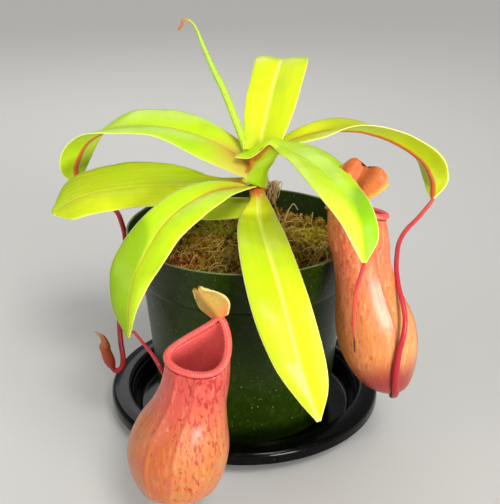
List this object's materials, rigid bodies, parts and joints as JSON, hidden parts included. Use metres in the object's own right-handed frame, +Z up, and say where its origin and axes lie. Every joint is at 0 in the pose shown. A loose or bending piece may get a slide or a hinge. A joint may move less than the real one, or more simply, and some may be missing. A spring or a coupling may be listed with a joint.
{
  "type": "potted pitcher plant",
  "caption": "Young pitcher plant with arching strap leaves, curling red tendrils and hanging lidded pitchers, in a round nursery pot on a saucer.",
  "frame": {"origin": "centre of the saucer's underside, on the surface that it stands on", "axes": "+Z up along the pot's axis; -Y towards the front, where the longest front leaf and the front pitcher hang over the pot's edge; +X to the right, seen from the front"},
  "size_m": [0.1917, 0.1925, 0.1922],
  "materials": {
    "black_plastic": "glossy black plastic, lightly scuffed",
    "green_plastic": "dark green thin plastic with dust and scuffs near the edge",
    "bark_mix": "loose bark and fibre mix, matte",
    "moss": "low moss and dry fibres, matte",
    "stem_green": "smooth green stem, red in the leaf joints",
    "dry_brown": "dry, wrinkled and matte",
    "leaf_yellow": "waxy yellow-green leaf with a pale thin edge",
    "leaf_lime": "waxy lime green leaf with a pale thin edge",
    "leaf_olive": "waxy yellow-olive leaf, darker along its upper half",
    "pitcher_coral": "smooth coral pink skin over orange with red blotches, satin",
    "pitcher_orange": "smooth orange skin with red mottling, glossy",
    "lip_coral": "wet-looking ribbed lip",
    "lid_olive": "olive tan, red at the hinge",
    "lid_orange": "orange-red with dark speckles and a yellow edge",
    "tendril_red": "smooth crimson tendril"
  },
  "bodies": {
    "root": {"saucer": "black_plastic", "pot": "green_plastic", "growing_medium": "bark_mix", "moss_carpet": "moss", "stem": "stem_green", "dead_stub": "dry_brown", "leaf_spear": "leaf_lime", "leaf_back": "leaf_yellow", "leaf_far_right": "leaf_yellow", "leaf_right_front": "leaf_lime", "leaf_upper_left": "leaf_lime", "leaf_left": "leaf_olive", "leaf_front_left": "leaf_lime", "leaf_front": "leaf_yellow", "leaf_sheath": "leaf_lime", "leaf_cut": "leaf_lime", "pitcher_front": "pitcher_coral", "pitcher_right": "pitcher_orange", "peristome_front": "lip_coral", "peristome_right": "lip_coral", "lid_front": "lid_olive", "lid_right": "lid_orange", "tendril_front": "tendril_red", "tendril_right": "tendril_red", "tendril_bud": "tendril_red", "tendril_dry": "tendril_red", "dry_bud": "dry_brown"}
  },
  "joints": []
}
